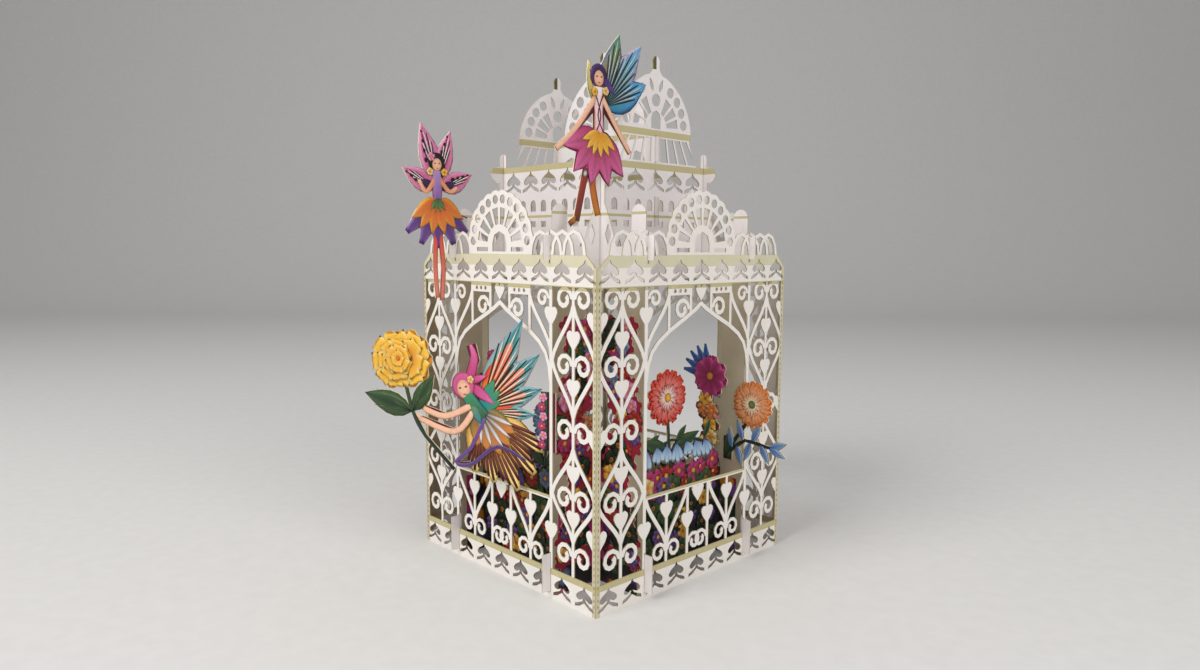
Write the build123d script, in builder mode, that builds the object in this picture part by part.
from build123d import *

import os
from math import cos, hypot, pi, radians, sin

# Pop up card: a square tower of pierced card with a domed roof, flower beds and winged figures.
# The origin is the middle of the tower's foot on the table, +Z is up.
# The front corner of the tower is at +X, -Y: the left wall faces -Y and the right wall faces +X.

# driving sizes in millimetres
WALL_W = 99.0  # outside width of a wall
WALL_H = 115.0  # height of a wall below its crest
CARD = 0.4  # thickness of the card
GAP = 0.05  # room for glue between two layers
SLOT = 0.7  # width of the slots that the cross panels slide through
CROSS = 27.0  # the cross panels stand this far from the middle
PITCH = WALL_W / 9  # one unit of the wall lattice
STEM = 1.25  # width of the thin stems of the lattice
BAND = 1.45  # width of the curved bands of the lattice
EDGE = 1.8  # plain strip beside a folded corner

HALF = WALL_W / 2
INNER = HALF - CARD  # inside face of a wall
BASE_BAND = 10.4  # height of the band of spades at the foot
TOP_BAND = 105.0  # underside of the band of spades at the top
RAIL_Z = 35.3  # top of the window's parapet rail
RAIL = 1.3
POST = 2.5 * PITCH  # the window posts stand this far from the middle of a wall

FAN_R = 18.6  # radius of the fan on a wall's crest
FAN_Z = 118.5
RAILING_H = 8.0

TAB = 3.4  # how far the foot tabs show outside the walls
HOOK = 2.7  # how far the top tabs show outside the walls
PANEL_END = INNER - 0.6  # the ends of the cross panels leave room for a glue flap inside the walls
WINDOW_HALF = 38.0  # half width of the wide opening in a cross panel
WINDOW_TOP = 106.0
BED_Z = 30.0  # height of the flower bed left in a cross panel
STOREY_Z = 147.4  # top of the second storey
EAR_Z = 152.8  # top of the upright ears at the crossings
LOW_LAP = 16.0  # the cross panels lap each other at these heights
HIGH_LAP = 130.0

DOME_Z = 159.2  # foot of the domes
DOME_R = 19.0
DOME_TIP = 185.0
CENTRE_DOME_R = 22.0
CENTRE_DOME_TIP = 190.5


# outlines as lists of points
def stroke(path, width):
    """Outline of a band of one width along a path of points."""
    left = []
    right = []
    for i, (x, y) in enumerate(path):
        xa, ya = path[max(i - 1, 0)]
        xb, yb = path[min(i + 1, len(path) - 1)]
        run = hypot(xb - xa, yb - ya)
        nx = (ya - yb) / run * width / 2
        ny = (xb - xa) / run * width / 2
        left.append((x + nx, y + ny))
        right.append((x - nx, y - ny))
    return left + right[::-1]


def mirrored(points):
    """The same outline turned over left to right."""
    return [(-x, y) for x, y in points]


def both_sides(right_half):
    """A whole outline from its right half, which starts and ends on the middle line."""
    return right_half + mirrored(right_half[-2:0:-1])


def half_heart(size):
    """The right half of a heart with its tip down."""
    half = [(0, 0.28), (0.12, 0.44), (0.3, 0.48), (0.46, 0.36), (0.5, 0.18), (0.38, -0.08), (0, -0.55)]
    return [(size * x, size * y) for x, y in half]


def heart(size):
    """A heart with its tip down, as wide as it is tall."""
    return both_sides(half_heart(size))


def spade(size):
    """A spade on a pair of spread feet."""
    half = [(0, 0.54), (0.1, 0.36), (0.42, 0.18), (0.56, 0.02), (0.52, -0.12), (0.34, -0.17),
            (0.06, -0.04), (0.14, -0.18), (0.62, -0.38), (0.64, -0.54), (0.34, -0.46), (0, -0.24)]
    return both_sides([(size * x, size * y) for x, y in half])


def curl(radius, width=BAND):
    """A scroll that leaves the stem at its right, winds over the top and ends in a drop."""
    steps = 11
    outer = []
    inner = []
    for i in range(steps + 1):
        turn = i / steps
        angle = 2 * pi * 1.12 * turn
        r = radius * (1 - 0.64 * turn)
        half = width / 2 * (1 + 0.3 * turn ** 3)
        outer.append(((r + half) * cos(angle), (r + half) * sin(angle)))
        inner.append(((r - half) * cos(angle), (r - half) * sin(angle)))
    return outer + inner[::-1]


def ogee(x0, z0, x1, z1, width=BAND, steps=6):
    """A band that leaves both of its ends steeply and swings over between them."""
    path = []
    for i in range(steps + 1):
        t = i / steps
        swing = 0.6 * t * t * (3 - 2 * t) + 0.4 * t
        path.append((x0 + (x1 - x0) * swing, z0 + (z1 - z0) * t))
    return stroke(path, width)


def petal(length, width, steps=6, fullness=0.8):
    """A petal from its root at the middle of the drawing to its tip along the first axis."""
    edge = []
    for i in range(1, steps):
        t = i / steps
        edge.append((length * t, width / 2 * sin(pi * t ** fullness)))
    return [(0, 0)] + edge + [(length, 0)] + [(x, -y) for x, y in edge[::-1]]


def blossom(radius, petals, depth=0.28):
    """A round flower with a notch between each two petals."""
    points = []
    for i in range(petals * 3):
        angle = 2 * pi * i / (petals * 3)
        r = radius * (1 - depth if i % 3 == 0 else 1)
        points.append((r * cos(angle), r * sin(angle)))
    return points


def disc(radius, sides=10):
    """A small round as a polygon."""
    return [(radius * cos(2 * pi * i / sides), radius * sin(2 * pi * i / sides)) for i in range(sides)]


def wedge(r0, r1, angle, half_angle, cx, cz):
    """A slit between two rays of a fan."""
    points = []
    for r, side in ((r0, -1), (r1, -1), (r1, 1), (r0, 1)):
        a = radians(angle + side * half_angle)
        points.append((cx + r * cos(a), cz + r * sin(a)))
    return points


def arched(width, height):
    """An upright hole with a pointed round top, from its foot at the middle of the drawing."""
    w = width / 2
    return [(-w, 0), (w, 0), (w, height - w), (0.7 * w, height - 0.3 * w), (0, height),
            (-0.7 * w, height - 0.3 * w), (-w, height - w)]


def at(outline, *spots):
    """An outline at each spot, given as x, y and an angle, ready to be added or cut away."""
    with Locations(*[Location((x, y, 0), (0, 0, turn)) for x, y, turn in spots or [(0, 0, 0)]]):
        return Polygon(*outline, align=None, mode=Mode.PRIVATE)


def bar(x, y, width, height):
    """An upright or level bar about its middle."""
    w = width / 2
    h = height / 2
    return at([(-w, -h), (w, -h), (w, h), (-w, h)], (x, y, 0))


# the drawing of one pierced wall: first axis along the wall, second axis up
STEM_X = 3.5 * PITCH  # stem of a side column
LOZENGES = ((99.3, 81.0, 63.3), (52.8, 36.8, 22.1))  # top, widest and foot of each lozenge
HEARTS_Z = (88.2, 72.6, 44.5, 29.5)
SCROLLS_Z = (101.2, 79.8, 58.4, 36.1, 17.2)
RIM_HEARTS_Z = (94.5, 57.5, 25.0)
SCROLL_R = 3.8
HEART = 6.4
# half of the window arch, from its post to its point
ARCH = ((POST - 0.2, 74.0), (26.5, 79.0), (24.7, 83.2), (21.4, 86.6), (16, 90.0), (8.2, 93.8),
        (3.2, 96.4), (-0.2, 98.6))

with BuildSketch() as lattice:
    # plain card with mitred top corners, then the three fields of the lattice cut out of it
    top_half = [(0, 0), (HALF, 0), (HALF, WALL_H - 4.5), (HALF - 5, WALL_H), (0, WALL_H)]
    add(at(both_sides(top_half)))
    field_h = TOP_BAND - BASE_BAND
    field_z = (TOP_BAND + BASE_BAND) / 2
    column_w = HALF - EDGE - POST - BAND / 2
    column_x = (HALF - EDGE + POST + BAND / 2) / 2
    fields = [bar(side * column_x, field_z, column_w, field_h) for side in (-1, 1)]
    fields.append(bar(0, field_z, 2 * POST - BAND, field_h))
    add(fields, mode=Mode.SUBTRACT)

    # stems: full ones in the side columns, short ones in the parapet, and the parapet's rail
    ribs = [bar(side * STEM_X, field_z, STEM, field_h + 1) for side in (-1, 1)]
    parapet_h = RAIL_Z - BASE_BAND
    for x in (-1.5, -0.5, 0.5, 1.5):
        ribs.append(bar(x * PITCH, BASE_BAND + parapet_h / 2 - 0.4, STEM, parapet_h))
    ribs.append(bar(0, RAIL_Z - RAIL / 2, 2 * POST, RAIL))

    # lozenges of the side columns, with hearts and scrolls on the stems
    reach = PITCH - 0.6
    for side in (-1, 1):
        x = side * STEM_X
        for top, wide, foot in LOZENGES:
            for swing in (-reach, reach):
                ribs.append(at(ogee(x, top, x + swing, wide)))
                ribs.append(at(ogee(x + swing, wide, x, foot)))
    ribs.append(at(heart(HEART), *[(side * STEM_X, z, 0) for side in (-1, 1) for z in HEARTS_Z]))
    rim_x = HALF - EDGE + 0.3
    ribs.append(at(half_heart(HEART), *[(-rim_x, z, 0) for z in RIM_HEARTS_Z]))
    ribs.append(at(mirrored(half_heart(HEART)), *[(rim_x, z, 0) for z in RIM_HEARTS_Z]))
    scroll_x = SCROLL_R + STEM / 2
    stems = [(side * STEM_X, z) for side in (-1, 1) for z in SCROLLS_Z]
    ribs.append(at(curl(SCROLL_R), *[(x - scroll_x, z, 0) for x, z in stems]))
    ribs.append(at(mirrored(curl(SCROLL_R)), *[(x + scroll_x, z, 0) for x, z in stems]))

    # parapet: two open V shapes on scrolls, with hearts on every stem
    for side in (-1, 1):
        x = side * 1.5 * PITCH
        for swing in (-PITCH + 0.4, PITCH - 0.4):
            ribs.append(at(ogee(x, 16.0, x + swing, RAIL_Z - 0.8)))
    hearts = [(side * 1.5 * PITCH, 28.5, 0) for side in (-1, 1)]
    hearts += [(side * 0.5 * PITCH, 22.4, 0) for side in (-1, 1)]
    hearts += [(side * POST, z, 0) for side in (-1, 1) for z in (23.4, 95.4)]
    hearts.append((0, RAIL_Z - 3.5, 0))
    ribs.append(at(heart(HEART), *hearts))
    ribs.append(at(curl(3.4, STEM), *[(x * PITCH - 3.8, 14.2, 0) for x in (-1.5, 0.5, 1.5)]))
    ribs.append(at(mirrored(curl(3.4, STEM)), *[(x * PITCH + 3.8, 14.2, 0) for x in (-1.5, -0.5, 1.5)]))

    # window arch, the bands and stems above it, scrolls and the small hanging heart
    for side in (-1, 1):
        x = side * 1.5 * PITCH
        ribs.append(at(stroke([(side * x, z) for x, z in ARCH], BAND)))
        ribs.append(at(ogee(side * POST, 84.0, x, TOP_BAND - 3)))
        ribs.append(at(stroke([(x, 89.6), (x, TOP_BAND + 0.5)], STEM)))
        ribs.append(at(stroke([(x / 3, 95.1), (x / 3, TOP_BAND + 0.5)], STEM)))
        ribs.append(bar(side * PITCH, TOP_BAND - 1.6, PITCH, 3.4))
    ribs.append(at(heart(5.6), (0, TOP_BAND - 2.6, 0)))
    ribs.append(at(curl(3.6), (-10.0, 96.8, 0)))
    ribs.append(at(mirrored(curl(3.6)), (10.0, 96.8, 0)))
    ribs.append(at(mirrored(curl(3.0, STEM)), (-23.4, 101.0, 0)))
    ribs.append(at(curl(3.0, STEM), (23.4, 101.0, 0)))

    # crest: a scalloped fan between two low railings of crossing arches
    rim = []
    scallops = 12
    for i in range(scallops * 3 + 1):
        angle = pi * i / (scallops * 3)
        r = FAN_R * (0.97 if i % 3 == 0 else 1)
        rim.append((r * cos(angle), FAN_Z + r * sin(angle)))
    foot = FAN_R * 0.97
    ribs.append(at([(foot, WALL_H - 1)] + rim + [(-foot, WALL_H - 1)]))
    for side in (-1, 1):
        for k in range(4):
            x = side * (FAN_R + 3.6 + k * PITCH / 2)
            arch = [(x + 0.46 * PITCH * cos(pi * i / 6), WALL_H - 0.4 + RAILING_H * sin(pi * i / 6))
                    for i in range(7)]
            ribs.append(at(stroke(arch, STEM)))
    add(ribs)

    # holes: dots, the fan's slits, spades in both bands and the slots for the cross panels
    dots = [(side * PITCH + step, TOP_BAND - 1.9, 0) for side in (-1, 1) for step in (-2.6, 0, 2.6)]
    holes = [at(disc(0.75, 6), *dots)]
    for k in range(8):
        holes.append(at(wedge(6.9, 12.7, 14.4 + 21.6 * k, 7.4, 0, FAN_Z)))
    for k in range(12):
        angle = 4.5 + 15.55 * k
        turn = radians(angle)
        holes.append(at(disc(1.65, 7), (15.5 * cos(turn), FAN_Z + 15.5 * sin(turn), angle)))
    holes.append(at(arched(8.0, 7.0), (0, WALL_H + 1.0, 0)))
    holes += [bar(side * 9.9, WALL_H + 1.8, 6.6, 1.5) for side in (-1, 1)]
    bays = [(i - 4) * PITCH for i in range(9)]
    for z in (BASE_BAND - 5.3, WALL_H - 5.0):
        holes.append(at(spade(7.0), *[(x, z, 0) for x in bays]))
    for side in (-1, 1):
        holes.append(bar(side * CROSS, 9.0, SLOT, 13.6))
        holes.append(bar(side * CROSS, 122.4, SLOT, 20))
    add(holes, mode=Mode.SUBTRACT)

# walls: each plane is the wall's outside face, and the card lies behind it
LEFT_WALL = Plane(origin=(0, -HALF, 0), x_dir=(1, 0, 0), z_dir=(0, -1, 0))
RIGHT_WALL = Plane(origin=(HALF, 0, 0), x_dir=(0, 1, 0), z_dir=(1, 0, 0))
REAR_RIGHT_WALL = Plane(origin=(0, HALF, 0), x_dir=(-1, 0, 0), z_dir=(0, 1, 0))
REAR_LEFT_WALL = Plane(origin=(-HALF, 0, 0), x_dir=(0, -1, 0), z_dir=(-1, 0, 0))
FLAP = 6.0  # width of the glue flaps of the front sheet
FLAP_TOP = 104.0

with BuildPart() as front_wall_sheet:
    for wall in (LEFT_WALL, RIGHT_WALL):
        with BuildSketch(wall):
            add(lattice.sketch)
    # a glue flap folded in behind each rear wall
    flap = [(0, 3), (FLAP, 6), (FLAP, FLAP_TOP - 3), (0, FLAP_TOP)]
    with BuildSketch(Plane(origin=(-INNER, -HALF, 0), x_dir=(0, 1, 0), z_dir=(1, 0, 0)).offset(CARD)):
        add(at(flap))
    with BuildSketch(Plane(origin=(HALF, INNER, 0), x_dir=(-1, 0, 0), z_dir=(0, 1, 0))):
        add(at(flap))
    extrude(amount=-CARD)

with BuildPart() as rear_wall_sheet:
    for wall in (REAR_RIGHT_WALL, REAR_LEFT_WALL):
        with BuildSketch(wall):
            add(lattice.sketch)
    extrude(amount=-CARD)
    # the edges that meet the front sheet are trimmed by its thickness
    with Locations((-HALF, -HALF, 0), (HALF, HALF, 0)):
        Box(2 * (CARD + GAP), 2 * (CARD + GAP), 4 * WALL_H, mode=Mode.SUBTRACT)

# the drawing of a cross panel up to its second storey: first axis along the panel, second axis up
FOOT_TAB = (2.5, 15.5)  # heights of the tab that goes through the foot of a wall
HOOK_TAB = (113.5, 121.5)  # heights of the tab that goes through the top of a wall
EGG_X = 45.3  # rounded head of a panel's end, just inside the wall
EGG_Z = 128.4
EGG_R = 3.2
DIP_X = 35.0  # low point between the rounded head and the crossing
DIP_Z = 118.0
LOBE_X = 30.2  # round lobe beyond a crossing
LOBE_Z = 145.0
LOBE_R = 2.8
EAR_W = 3.6
SPADE_PITCH = 10.3
ARCADE_PITCH = 5.9


with BuildSketch() as storey:
    # outline with its tabs, rounded heads, lobes and ears
    with BuildLine():
        tabs = Polyline(
            (0, 0), (PANEL_END, 0), (PANEL_END, FOOT_TAB[0]), (HALF + TAB, FOOT_TAB[0]),
            (HALF + TAB, FOOT_TAB[1]), (PANEL_END, FOOT_TAB[1]), (PANEL_END, HOOK_TAB[0]),
            (HALF + HOOK, HOOK_TAB[0]), (HALF + HOOK, HOOK_TAB[1]), (EGG_X + EGG_R, HOOK_TAB[1]),
            (EGG_X + EGG_R, EGG_Z))
        head = ThreePointArc(tabs @ 1, (EGG_X, EGG_Z + EGG_R), (EGG_X - EGG_R, EGG_Z))
        neck = Line(head @ 1, (EGG_X - EGG_R, DIP_Z + 5))
        dip = ThreePointArc(neck @ 1, (39.5, DIP_Z + 0.8), (DIP_X, DIP_Z))
        rise = ThreePointArc(dip @ 1, (32.4, 125.0), (29.2, 132.5))
        side = Line(rise @ 1, (29.2, LOBE_Z - LOBE_R))
        under = Line(side @ 1, (LOBE_X, LOBE_Z - LOBE_R))
        lobe = ThreePointArc(under @ 1, (LOBE_X + LOBE_R, LOBE_Z), (LOBE_X, LOBE_Z + LOBE_R))
        ear_side = Polyline(lobe @ 1, (CROSS + EAR_W / 2, LOBE_Z + LOBE_R),
                            (CROSS + EAR_W / 2, EAR_Z - EAR_W / 2))
        ear = ThreePointArc(ear_side @ 1, (CROSS, EAR_Z), (CROSS - EAR_W / 2, EAR_Z - EAR_W / 2))
        Polyline(ear @ 1, (CROSS - EAR_W / 2, STOREY_Z), (0, STOREY_Z))
        mirror(about=Plane.YZ)
    make_face()
    opening = [(0, BED_Z), (WINDOW_HALF, BED_Z), (WINDOW_HALF, WINDOW_TOP - 10),
               (WINDOW_HALF - 10, WINDOW_TOP), (0, WINDOW_TOP)]
    holes = [at(both_sides(opening))]
    # spades, a row of small arches, a row of square holes and slim holes beside the crossings
    holes.append(at(spade(7.4), *[(k * SPADE_PITCH, 141.6, 0) for k in (-2, -1, 0, 1, 2)]))
    rows = [(k + 0.5) * ARCADE_PITCH for k in range(-4, 4)]
    holes.append(at(arched(3.0, 4.2), *[(x, 130.6, 0) for x in rows]))
    holes += [bar(x, 126.0, 2.6, 2.2) for x in rows]
    slim = [(0, -3.6), (1.5, 0), (0, 3.6), (-1.5, 0)]
    holes.append(at(slim, *[(side * 31.0, 122.0, 0) for side in (-1, 1)]))
    holes.append(at(slim, *[(x, 117.0, 0) for x in (-18, -12, -6, 0, 6, 12, 18)]))
    add(holes, mode=Mode.SUBTRACT)
    # flowers along the foot of the opening and climbing its posts
    bed = [(-33 + 11 * k, BED_Z + 2.5 * cos(2.1 * k), 20 * k) for k in range(7)]
    climb = [(side * (WINDOW_HALF - 0.6), BED_Z + 9 * k, 31 * k) for side in (-1, 1) for k in range(1, 5)]
    add([at(blossom(6.0, 7), *bed), at(blossom(4.4, 6), *climb)])


def lap_slots(spans):
    """Cuts the slots in which two crossing panels lap each other, from one height to another."""
    slots = [bar(side * CROSS, (low + high) / 2, SLOT, high - low)
             for side in (-1, 1) for low, high in spans]
    add(slots, mode=Mode.SUBTRACT)


UP_SLOTS = ((LOW_LAP, 50.0), (HIGH_LAP, EAR_Z + 5))
DOWN_SLOTS = ((-5.0, LOW_LAP + 0.3), (WINDOW_TOP - 5, HIGH_LAP + 0.3))


def dome_outline(radius, foot, tip):
    """Right half of an onion dome with its finial, from its foot to its point."""
    with BuildLine() as half:
        base = Line((0, foot - 1), (radius, foot - 1))
        wall = Line(base @ 1, (radius, foot + 2))
        shoulder = ThreePointArc(wall @ 1, (0.78 * radius, foot + 0.6 * radius),
                                 (0.26 * radius, foot + radius))
        neck = ThreePointArc(shoulder @ 1, (0.13 * radius, foot + 1.06 * radius),
                             (1.5, foot + 1.18 * radius))
        Polyline(neck @ 1, (1.7, tip - 1.4), (0.8, tip), (0, tip))
    return half


def dome_tracery(radius, foot):
    """The holes of a dome: an arch, a round eye, rays and a ring of cells."""
    holes = [at(arched(0.26 * radius, 0.34 * radius), (0, foot + 0.6, 0))]
    holes.append(at(disc(0.12 * radius), (0, foot + 0.56 * radius, 0)))
    holes.append(at(petal(0.26 * radius, 0.1 * radius), *[(side * 1.6, foot + 0.72 * radius, 90 - 22 * side)
                                                          for side in (-1, 1)]))
    for angle in (12, 34, 56, 124, 146, 168):
        holes.append(at(wedge(0.3 * radius, 0.62 * radius, angle, 8.2, 0, foot + 1)))
    for angle in (8, 25, 42, 60, 120, 138, 155, 172):
        turn = radians(angle)
        spot = (0.79 * radius * cos(turn), foot + 1 + 0.79 * radius * sin(turn), angle)
        holes.append(at(disc(0.1 * radius, 8), spot))
    return holes


SLOPE_FOOT = 22.6  # half widths of the sloping roof between the storey and the cornice
SLOPE_TOP = 17.2
CENTRE_SLOTS = ((125.4, 135.9), (147.9, 157.5))  # heights of the centre panel's tabs

with BuildSketch() as dome_drawing:
    add(storey.sketch)
    # sloping roof with flaring bars, cornice and dome
    with BuildLine():
        foot = Line((0, STOREY_Z - 1), (SLOPE_FOOT + 1, STOREY_Z - 1))
        sweep_in = ThreePointArc(foot @ 1, (SLOPE_FOOT - 2.6, 151.6), (SLOPE_TOP + 1, DOME_Z - 2))
        Polyline(sweep_in @ 1, (DOME_R + 0.4, DOME_Z - 2), (DOME_R + 0.4, DOME_Z), (0, DOME_Z))
        mirror(about=Plane.YZ)
    make_face()
    with BuildLine():
        add(dome_outline(DOME_R, DOME_Z, DOME_TIP).line)
        mirror(about=Plane.YZ)
    make_face()
    bays = []
    for side in (-1, 1):
        for k in range(4):
            low = [2.0 + (SLOPE_FOOT - 2.0) * (k + e) / 4 for e in (0.1, 0.9)]
            high = [1.8 + (SLOPE_TOP - 1.8) * (k + e) / 4 for e in (0.1, 0.9)]
            slope = [(low[0], STOREY_Z + 0.8), (low[1], STOREY_Z + 0.8),
                     (high[1], DOME_Z - 2.6), (high[0], DOME_Z - 2.6)]
            bays.append(at(slope if side > 0 else mirrored(slope)))
    bays += dome_tracery(DOME_R, DOME_Z)
    bays += [bar(0, (low + high) / 2, SLOT, high - low) for low, high in CENTRE_SLOTS]
    add(bays, mode=Mode.SUBTRACT)
    lap_slots(DOWN_SLOTS)

with BuildSketch() as storey_only_drawing:
    add(storey.sketch)
    lap_slots(UP_SLOTS)

with BuildSketch() as centre_drawing:
    # a bridge between the two dome panels, with tabs at both ends and a larger dome on top
    bridge_end = CROSS - CARD / 2 - 0.2
    bridge_tab = CROSS + 2.0
    half = [(0, 122.0), (bridge_end, 122.0)]
    for low, high in CENTRE_SLOTS:
        half += [(bridge_end, low + 0.2), (bridge_tab, low + 0.2)]
        half += [(bridge_tab, high - 0.2), (bridge_end, high - 0.2)]
    half += [(bridge_end, DOME_Z + 1), (0, DOME_Z + 1)]
    add(at(both_sides(half)))
    with BuildLine():
        add(dome_outline(CENTRE_DOME_R, DOME_Z + 2, CENTRE_DOME_TIP).line)
        mirror(about=Plane.YZ)
    make_face()
    holes = dome_tracery(CENTRE_DOME_R, DOME_Z + 2)
    holes.append(at(arched(9, 26), *[(x, 127.0, 0) for x in (-18, -6, 6, 18)]))
    add(holes, mode=Mode.SUBTRACT)


def panel_along_y(x):
    """Middle plane of a sheet parallel to the right wall."""
    return Plane(origin=(x, 0, 0), x_dir=(0, 1, 0), z_dir=(1, 0, 0))


def panel_along_x(y):
    """Middle plane of a sheet parallel to the left wall."""
    return Plane(origin=(0, y, 0), x_dir=(1, 0, 0), z_dir=(0, -1, 0))


with BuildPart() as front_dome_panel:
    with BuildSketch(panel_along_y(CROSS)):
        add(dome_drawing.sketch)
    extrude(amount=CARD / 2, both=True)

with BuildPart() as rear_dome_panel:
    with BuildSketch(panel_along_y(-CROSS)):
        add(dome_drawing.sketch)
    extrude(amount=CARD / 2, both=True)

with BuildPart() as left_cross_panel:
    with BuildSketch(panel_along_x(-CROSS)):
        add(storey_only_drawing.sketch)
    extrude(amount=CARD / 2, both=True)

with BuildPart() as right_cross_panel:
    with BuildSketch(panel_along_x(CROSS)):
        add(storey_only_drawing.sketch)
    extrude(amount=CARD / 2, both=True)

with BuildPart() as centre_dome_panel:
    with BuildSketch(panel_along_x(0)):
        add(centre_drawing.sketch)
    extrude(amount=CARD / 2, both=True)

# flower beds behind the two front windows: each stands between two cross panels on folded flaps
BED_X = 38.0
BED_HALF = CROSS - CARD / 2 - GAP
BED_FLAP = 5.0
BED_FLAP_Z = (6.0, 26.0)
FACE = CARD / 2 + GAP  # a glued sheet starts this far from the middle of its carrier


def bed_flaps(bed, inward):
    """Folds a glue flap at each end of a bed, against the cross panels."""
    low, high = BED_FLAP_Z
    for side in (-1, 1):
        where = bed * Location((side * (BED_HALF - CARD / 2), (low + high) / 2, inward * BED_FLAP / 2))
        with Locations(where):
            Box(CARD, high - low, BED_FLAP)


with BuildPart() as right_bed:
    right_bed_plane = panel_along_y(BED_X)
    with BuildSketch(right_bed_plane):
        plants = [bar(0, 17.5, 2 * BED_HALF, 33)]
        low_row = [(-21 + 8.4 * k, 34 + 2 * cos(2.4 * k), 17 * k) for k in range(6)]
        plants.append(at(blossom(5.2, 7), *low_row))
        # tall daisy on its stem, a pair of leaves and a row of hanging bells
        plants.append(at(stroke([(-1.0, 33), (-3.0, 48), (-4.4, 64.4)], 1.4)))
        plants.append(at(blossom(10.2, 14, 0.14), (-4.4, 64.4, 0)))
        plants.append(at(petal(17, 6), (-2.6, 44, 20), (-2.6, 44, 158)))
        plants.append(at(stroke([(-19, 33), (-15, 45), (-2, 48.5), (12, 47), (20, 44)], 1.0)))
        bells = [(-15 + 5.2 * k, 47.5 - 0.06 * (k - 2) ** 2, 262 + 6 * k) for k in range(7)]
        plants.append(at(petal(7.5, 4.2, 4), *bells))
        add(plants)
    extrude(amount=CARD / 2, both=True)
    bed_flaps(right_bed_plane, -1)

with BuildPart() as left_bed:
    left_bed_plane = panel_along_x(-BED_X)
    with BuildSketch(left_bed_plane):
        plants = [bar(0, 17.5, 2 * BED_HALF, 33)]
        low_row = [(-21 + 8.4 * k, 34 + 2 * cos(1.7 * k), 23 * k) for k in range(6)]
        plants.append(at(blossom(5.2, 7), *low_row))
        # two spikes of small flowers and a round head between leaves
        for x, top in ((-20.0, 76.0), (-13.0, 68.0)):
            plants.append(at(stroke([(x + 3, 33), (x, top)], 1.2)))
            climb = [(k + 2) / 8 for k in range(7)]
            spike = [(x + 3 - 3 * t, 33 + (top - 33) * t, 320 * t) for t in climb]
            plants.append(at(blossom(3.2, 5), *spike))
        plants.append(at(stroke([(10, 33), (12, 55)], 1.4)))
        plants.append(at(blossom(8.0, 9), (12, 56, 0)))
        plants.append(at(petal(16, 6), (11, 40, 40), (11, 40, 140)))
        add(plants)
    extrude(amount=CARD / 2, both=True)
    bed_flaps(left_bed_plane, -1)

# blossoms glued to the cross panels where they are seen through the columns at the front corner
with BuildSketch() as climbing_blossoms:
    vine = [(38.2 + 3.5 * cos(0.9 * k), 12 + 6.6 * k) for k in range(13)]
    tufts = [at(stroke(vine, 9.0))]
    for side in (-1, 1):
        spots = [(x + side * (4.6 + 1.2 * cos(2.2 * k)), z, 29 * k) for k, (x, z) in enumerate(vine)]
        tufts.append(at(blossom(3.9, 6), *[(min(max(x, 32.2), 44.4), z, turn) for x, z, turn in spots]))
    add(tufts)

with BuildPart() as corner_blossoms_left:
    with BuildSketch(panel_along_y(CROSS + FACE)):
        add(mirror(climbing_blossoms.sketch, about=Plane.YZ, mode=Mode.PRIVATE))
    extrude(amount=CARD)

with BuildPart() as corner_blossoms_right:
    with BuildSketch(panel_along_x(-CROSS - FACE)):
        add(climbing_blossoms.sketch)
    extrude(amount=CARD)

# flowers glued to the right cross panel: a tall one inside, and a daisy that leans out of the window
with BuildPart() as cosmos_spray:
    with BuildSketch(panel_along_x(CROSS - FACE)):
        plants = [at(stroke([(32.5, 37), (31.5, 52), (33.4, 68)], 3.0))]
        plants.append(at(blossom(8.2, 8, 0.2), (33.0, 68.4, 10)))
        plants.append(at(petal(12, 3.4), *[(31.5, 69, turn) for turn in (95, 115, 135, 155, 175)]))
        plants.append(at(blossom(4.6, 5), (31.0, 42.0, 0), (33.2, 49.5, 30), (30.4, 55.5, 60)))
        add(plants)
    extrude(amount=CARD)

with BuildPart() as daisy_spray:
    with BuildSketch(panel_along_x(CROSS - FACE)):
        plants = [at(stroke([(41.0, 38), (45.0, 45), (50.0, 52), (53.0, 60)], 1.6))]
        plants.append(at(blossom(8.8, 14, 0.14), (53.0, 60.0, 0)))
        plants.append(at(stroke([(42.0, 40), (50.0, 46), (61.5, 45)], 1.2)))
        leaves = [(44.0, 42, 100), (46.0, 43.5, 290), (49.0, 46, 110), (52.5, 45.6, 250)]
        leaves += [(53.0, 46, 60), (57.0, 45.6, 300), (60.5, 45, 340), (61, 45, 20)]
        plants.append(at(petal(8, 3), *leaves))
        plants.append(bar(42.0, 42.0, 4.0, 9.0))
        add(plants)
    extrude(amount=CARD)


# winged figures: wings, hair, skirts and leaves are petals, limbs and bodies are bands of card
def figure(wings, skirt, limbs, head, head_r):
    """All the outlines of one winged figure, ready to be joined."""
    outlines = [at(petal(length, width), (x, z, turn)) for x, z, turn, length, width in wings + skirt]
    outlines += [at(stroke(path, width)) for path, width in limbs]
    outlines.append(at(disc(head_r, 12), head))
    return outlines


with BuildPart() as corner_figure:
    # stands outside the left wall, glued to the head and tab of the rear dome panel
    with BuildSketch(panel_along_y(-CROSS + FACE)):
        wings = [(-57, 140, 108, 22, 9), (-57, 140, 74, 20, 8), (-58, 138, 152, 15, 8), (-56, 138, 24, 15, 8)]
        skirt = [(-57.4, 134, turn, 17, 7) for turn in (222, 246, 270, 294, 318)]
        limbs = [([(-57.6, 145), (-57.4, 132)], 3.8), ([(-57.4, 141), (-62, 137), (-65, 141)], 1.5),
                 ([(-57.2, 141), (-52.5, 137.5), (-49, 139)], 1.5),
                 ([(-58.2, 122), (-58.6, 110), (-57.8, 99)], 1.8),
                 ([(-56.4, 122), (-55.2, 110), (-56.0, 98)], 1.8),
                 ([(-55, 129.5), (-45, 126.5)], 4.0)]
        add(figure(wings, skirt, limbs, (-57.6, 147, 0), 3.2))
    extrude(amount=CARD)

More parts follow.
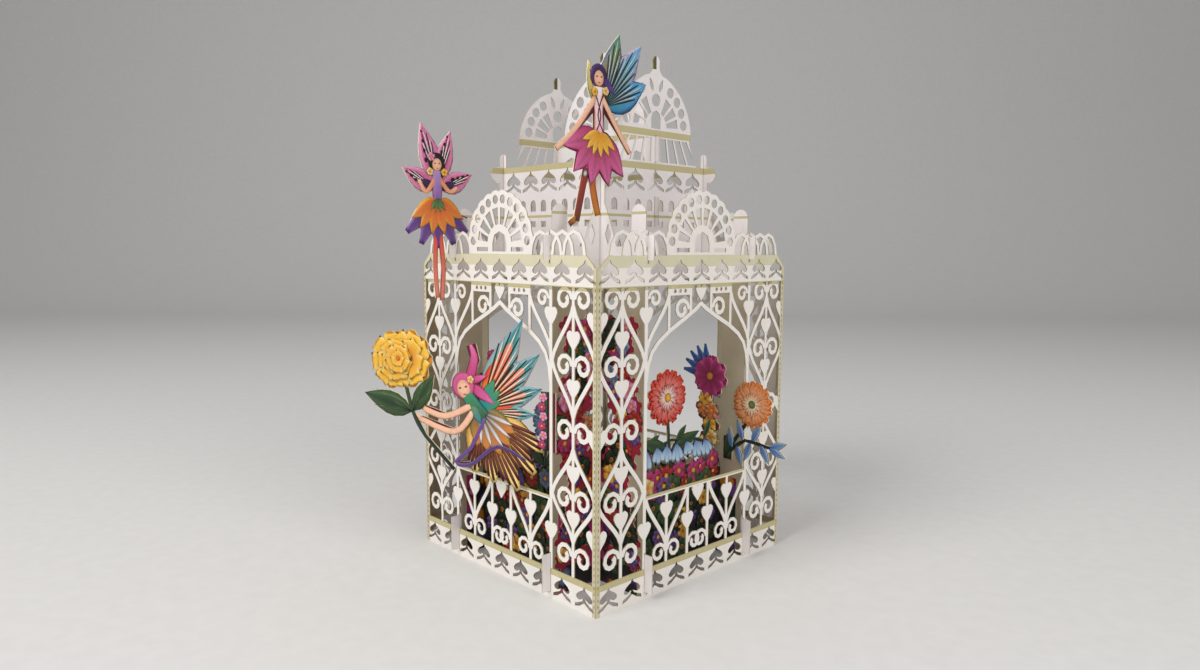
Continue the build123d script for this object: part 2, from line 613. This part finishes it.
ROOF_FIGURE_X = LOBE_X + LOBE_R + 0.5  # just in front of the lobes
with BuildPart() as roof_figure:
    # stands in front of the roof on a folded flap glued to the lobe of the left cross panel
    with BuildSketch(panel_along_y(ROOF_FIGURE_X)):
        wings = [(-32, 163, 74, 25, 10), (-32, 163, 52, 28, 11), (-32, 163, 26, 22, 11),
                 (-33, 162, 112, 16, 7)]
        skirt = [(-34, 154, turn, 17, 8.5) for turn in (196, 228, 256, 284, 310)]
        skirt += [(-34, 155, turn, 9, 4) for turn in (215, 245, 270, 295, 325)]
        limbs = [([(-34.6, 170), (-34.2, 153)], 5.0), ([(-34.4, 164), (-44, 155), (-52.5, 148)], 1.7),
                 ([(-34, 164), (-26, 156), (-20, 149)], 1.7), ([(-37, 152), (-41, 138), (-44, 126)], 2.6),
                 ([(-36, 152), (-37, 138), (-34.5, 128)], 2.6), ([(-44, 127), (-47, 124.8)], 2.0)]
        add(figure(wings, skirt, limbs, (-34.7, 171.6, 0), 3.4))
    extrude(amount=CARD / 2, both=True)
    flap_x = CROSS + FACE + GAP
    with Locations(((flap_x + ROOF_FIGURE_X) / 2, -CROSS - FACE - CARD / 2, LOBE_Z)):
        Box(ROOF_FIGURE_X - flap_x, CARD, 4.0)

LEAN = 20.0  # the flying figure leans out of the left window by this angle
HINGE_X = POST - BAND / 2 - 0.9
FLYING_PLANE = Plane(origin=(HINGE_X, -INNER + CARD, 0), x_dir=(cos(radians(LEAN)), sin(radians(LEAN)), 0),
                     z_dir=(sin(radians(LEAN)), -cos(radians(LEAN)), 0))
with BuildPart() as flying_figure:
    # a flap behind the window post holds it
    with BuildSketch(FLYING_PLANE):
        wings = [(-27, 62, 62, 36, 11), (-27, 62, 41, 31, 10), (-27, 62, 20, 26, 9), (-27, 61, 2, 22, 7)]
        skirt = [(-27, 61, 336, 27, 11), (-27, 61, 318, 29, 11), (-27, 61, 300, 30, 11),
                 (-27, 61, 282, 25, 11), (-27, 61, 262, 22, 11)]
        limbs = [([(-33, 67), (-29, 62), (-25, 59)], 6.0), ([(-31, 62), (-42, 58), (-55, 61)], 2.2),
                 ([(-30, 60), (-38, 52.6), (-56, 56.8)], 2.2), ([(-32, 72), (-29.5, 79), (-31, 84)], 4.0),
                 ([(-25, 59), (-31, 48), (-37.5, 42), (-31, 42), (-20, 49.5), (-9, 46.0)], 1.6)]
        add(figure(wings, skirt, limbs, (-34, 69, 0), 4.6))
        with Locations((-1.5, 60.0)):
            Rectangle(3.4, 20)
        with Locations((2.5 + 0.2, 60)):
            Rectangle(5, 80, mode=Mode.SUBTRACT)
    extrude(amount=CARD / 2, both=True)
    flap_w = 3.6
    with Locations((HINGE_X + flap_w / 2 - 0.2, -INNER + GAP + CARD / 2, 60.0)):
        Box(flap_w, CARD, 20.0)

with BuildPart() as rose_spray:
    # held in front of the figure's hands
    with BuildSketch(FLYING_PLANE.offset(FACE)):
        plants = [at(blossom(10.6, 9, 0.14), (-64.5, 76.6, 0), (-58.0, 77.6, 20))]
        plants.append(at(petal(23, 9), (-56.5, 58.4, 167)))
        plants.append(at(petal(17, 7), (-56.5, 58.4, 55)))
        plants.append(at(stroke([(-60, 70), (-56.5, 58.4), (-51, 50), (-38.5, 39.2)], 1.5)))
        add(plants)
    extrude(amount=CARD)

# names and files
pieces = {
    "front_wall_sheet": front_wall_sheet,
    "rear_wall_sheet": rear_wall_sheet,
    "front_dome_panel": front_dome_panel,
    "rear_dome_panel": rear_dome_panel,
    "left_cross_panel": left_cross_panel,
    "right_cross_panel": right_cross_panel,
    "centre_dome_panel": centre_dome_panel,
    "right_bed": right_bed,
    "left_bed": left_bed,
    "corner_blossoms_left": corner_blossoms_left,
    "corner_blossoms_right": corner_blossoms_right,
    "cosmos_spray": cosmos_spray,
    "daisy_spray": daisy_spray,
    "corner_figure": corner_figure,
    "roof_figure": roof_figure,
    "flying_figure": flying_figure,
    "rose_spray": rose_spray,
}
os.makedirs("parts", exist_ok=True)
for label, piece in pieces.items():
    piece.part.label = label
    export_step(piece.part, f"parts/{label}.step")
